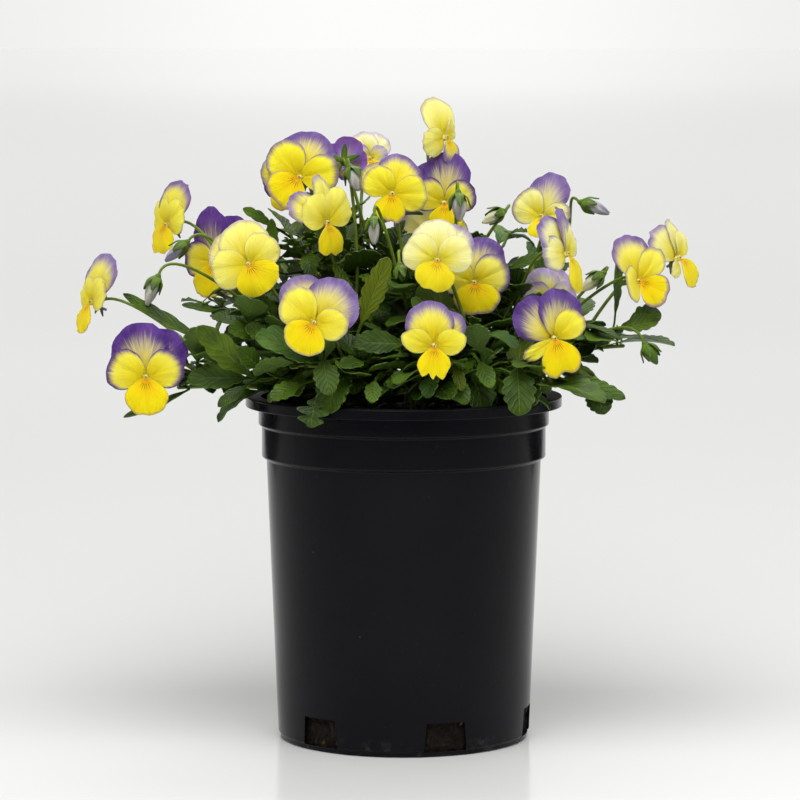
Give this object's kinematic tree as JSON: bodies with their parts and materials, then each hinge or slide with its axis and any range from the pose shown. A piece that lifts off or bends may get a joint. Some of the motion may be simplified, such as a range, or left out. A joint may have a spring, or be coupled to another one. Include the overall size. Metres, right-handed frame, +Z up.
{
  "type": "potted horned violet",
  "caption": "Bushy flowering plant with toothed leaves, nodding spurred blooms and buds on thin stalks, growing in a tapered round nursery pot with foot slots.",
  "frame": {"origin": "centre of the pot's flat underside", "axes": "+Z up along the pot's axis, -Y towards the plant's front, +X to the viewer's right"},
  "size_m": [0.3303, 0.1972, 0.33],
  "materials": {
    "pot_plastic": "smooth moulded plastic with a soft gloss and fine scuffs",
    "potting_mix": "loose dark peat and bark",
    "leaf_green": "fresh leaf with a waxy sheen and pale veins",
    "petal_lemon": "velvety petal, lemon yellow with a violet edge",
    "petal_cream": "velvety petal, cream yellow with a thin violet edge",
    "petal_lilac": "velvety petal, violet",
    "bud_slate": "furled petal, slate violet",
    "bud_pale": "furled petal, pale green yellow"
  },
  "bodies": {
    "root": {"pot": "pot_plastic", "potting_mix": "potting_mix", "leafy_stem_01": "leaf_green", "leafy_stem_02": "leaf_green", "leafy_stem_03": "leaf_green", "leafy_stem_04": "leaf_green", "leafy_stem_05": "leaf_green", "leafy_stem_06": "leaf_green", "leafy_stem_07": "leaf_green", "leafy_stem_08": "leaf_green", "leafy_stem_09": "leaf_green", "leafy_stem_10": "leaf_green", "leafy_stem_11": "leaf_green", "leafy_stem_12": "leaf_green", "leafy_stem_13": "leaf_green", "leafy_stem_14": "leaf_green", "leafy_stem_15": "leaf_green", "leafy_stem_16": "leaf_green", "bloom_01": "petal_lemon", "bloom_02": "petal_lemon", "bloom_03": "petal_lemon", "bloom_04": "petal_lemon", "bloom_05": "petal_cream", "bloom_06": "petal_lemon", "bloom_07": "petal_lemon", "bloom_08": "petal_lilac", "bloom_09": "petal_cream", "bloom_10": "petal_lemon", "bloom_11": "petal_cream", "bloom_12": "petal_lemon", "bloom_13": "petal_lemon", "bloom_14": "petal_cream", "bloom_15": "petal_lemon", "bloom_16": "petal_lemon", "bloom_17": "petal_lemon", "bloom_18": "petal_lemon", "bloom_19": "petal_cream", "bloom_20": "petal_lemon", "bloom_21": "petal_lilac", "bloom_22": "petal_lemon", "bloom_23": "petal_cream", "bloom_24": "petal_lemon", "bloom_25": "petal_lemon", "bloom_26": "petal_lemon", "bloom_27": "petal_lemon", "bud_01": "bud_slate", "bud_02": "petal_lilac", "bud_03": "bud_slate", "bud_04": "bud_slate", "bud_05": "petal_lilac", "bud_06": "petal_lilac", "bud_07": "bud_pale", "bud_08": "bud_pale"}
  },
  "joints": []
}
